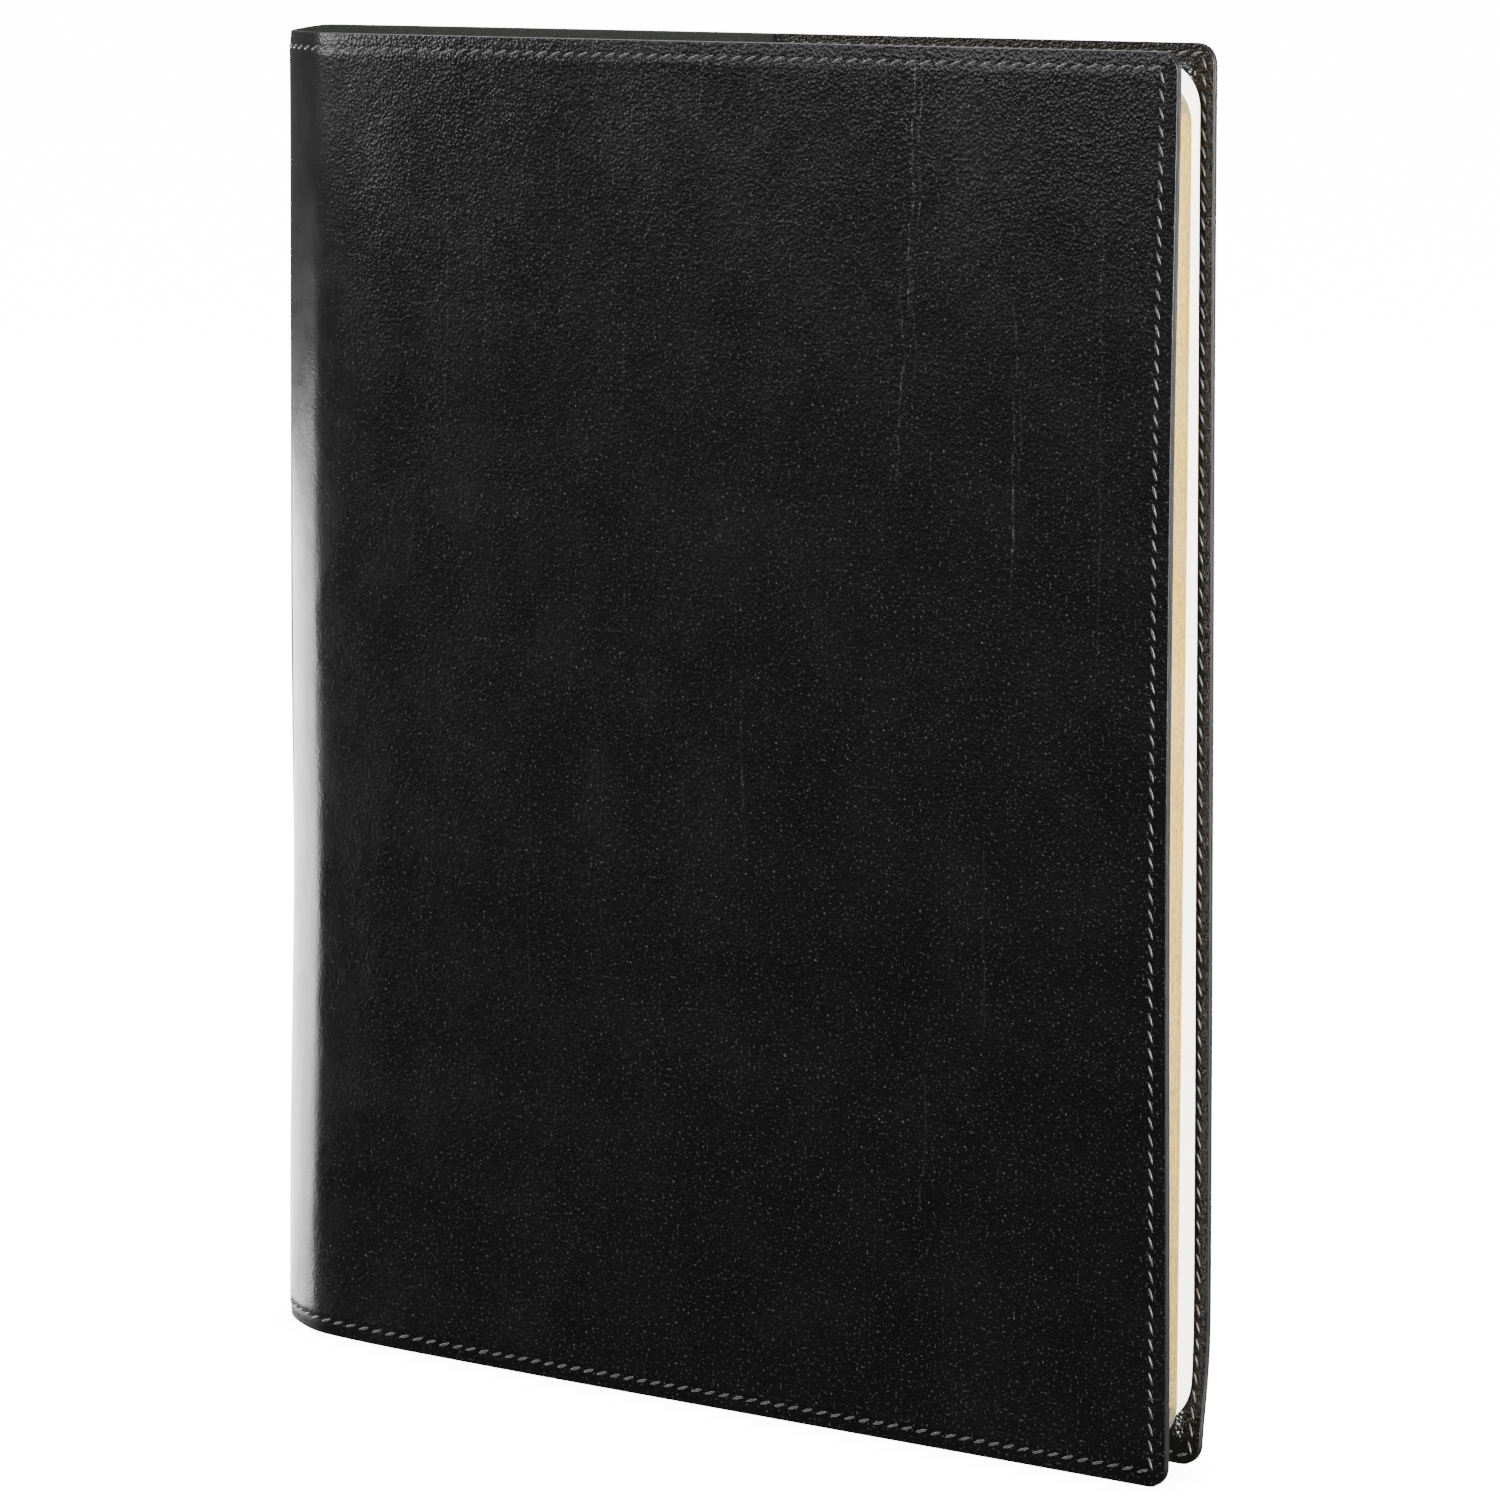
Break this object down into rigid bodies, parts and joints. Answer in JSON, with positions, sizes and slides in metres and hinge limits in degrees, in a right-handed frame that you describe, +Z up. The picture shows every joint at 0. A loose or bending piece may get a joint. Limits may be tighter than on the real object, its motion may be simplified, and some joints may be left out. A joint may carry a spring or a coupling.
{
  "type": "prayer book",
  "caption": "Slim gilt-edged book standing in a sewn black leather slip jacket with inner pockets, hinged covers and leaves that fan open.",
  "frame": {"origin": "under the middle of the closed book, on its tail edge (the face that it stands on)", "axes": "+Z up from tail to head, +X from the rounded spine to the fore edge, +Y from the front cover to the back cover"},
  "size_m": [0.1722, 0.0158, 0.218],
  "materials": {
    "cover_leather": "smooth glossy aniline black cowhide, cut painted edges",
    "pocket_leather": "thin fine-grained glossy black leather",
    "thread": "waxed black-grey polyester thread",
    "card": "grey-buff pasteboard",
    "endpaper": "uncoated white endpaper",
    "linen": "starched linen",
    "band_silk": "woven gold silk bead",
    "gilt_leaves": "white book paper with burnished gilt edges"
  },
  "bodies": {
    "block": {"jacket_spine": "cover_leather", "spine_stitching": "thread", "case_spine": "card", "spine_mull": "linen", "sewing_tapes": "linen", "headband": "band_silk", "tailband": "band_silk", "section_4": "gilt_leaves", "section_5": "gilt_leaves"},
    "front_cover": {"jacket_front": "cover_leather", "front_pocket": "pocket_leather", "front_stitching": "thread", "front_card": "card", "front_pastedown": "endpaper"},
    "back_cover": {"jacket_back": "cover_leather", "back_pocket": "pocket_leather", "back_stitching": "thread", "back_card": "card", "back_pastedown": "endpaper"},
    "front_flyleaf": {"front_flyleaf": "endpaper"},
    "leaves_1": {"section_1": "gilt_leaves"},
    "leaves_2": {"section_2": "gilt_leaves"},
    "leaves_3": {"section_3": "gilt_leaves"},
    "leaves_6": {"section_6": "gilt_leaves"},
    "leaves_7": {"section_7": "gilt_leaves"},
    "back_flyleaf": {"back_flyleaf": "endpaper"}
  },
  "joints": [
    {"name": "front_cover_opens", "type": "hinge", "parent": "block", "child": "front_cover", "pos_m": [-0.0782, -0.0083, 0.109], "axis": [0, 0, -1], "range_deg": [0, 170]},
    {"name": "back_cover_opens", "type": "hinge", "parent": "block", "child": "back_cover", "pos_m": [-0.0782, 0.0083, 0.109], "axis": [0, 0, 1], "range_deg": [0, 170]},
    {"name": "front_flyleaf_turns", "type": "hinge", "parent": "block", "child": "front_flyleaf", "pos_m": [-0.0773, -0.0046, 0.109], "axis": [0, 0, -1], "range_deg": [0, 85]},
    {"name": "section_1_turns", "type": "hinge", "parent": "block", "child": "leaves_1", "pos_m": [-0.0773, -0.00395, 0.109], "axis": [0, 0, -1], "range_deg": [0, 61.2]},
    {"name": "section_2_turns", "type": "hinge", "parent": "block", "child": "leaves_2", "pos_m": [-0.0773, -0.00311, 0.109], "axis": [0, 0, -1], "range_deg": [0, 37.4]},
    {"name": "section_3_turns", "type": "hinge", "parent": "block", "child": "leaves_3", "pos_m": [-0.0773, -0.00226, 0.109], "axis": [0, 0, -1], "range_deg": [0, 17]},
    {"name": "back_flyleaf_turns", "type": "hinge", "parent": "block", "child": "back_flyleaf", "pos_m": [-0.0773, 0.00176, 0.109], "axis": [0, 0, 1], "range_deg": [0, 85]},
    {"name": "section_7_turns", "type": "hinge", "parent": "block", "child": "leaves_7", "pos_m": [-0.0773, 0.00111, 0.109], "axis": [0, 0, 1], "range_deg": [0, 51]},
    {"name": "section_6_turns", "type": "hinge", "parent": "block", "child": "leaves_6", "pos_m": [-0.0773, 0.00027, 0.109], "axis": [0, 0, 1], "range_deg": [0, 23.8]}
  ],
  "couplings": [
    {"joint": "front_flyleaf_turns", "follows": "front_cover_opens", "ratio": 0.5},
    {"joint": "section_1_turns", "follows": "front_cover_opens", "ratio": 0.36},
    {"joint": "section_2_turns", "follows": "front_cover_opens", "ratio": 0.22},
    {"joint": "section_3_turns", "follows": "front_cover_opens", "ratio": 0.1},
    {"joint": "back_flyleaf_turns", "follows": "back_cover_opens", "ratio": 0.5},
    {"joint": "section_7_turns", "follows": "back_cover_opens", "ratio": 0.3},
    {"joint": "section_6_turns", "follows": "back_cover_opens", "ratio": 0.14}
  ]
}
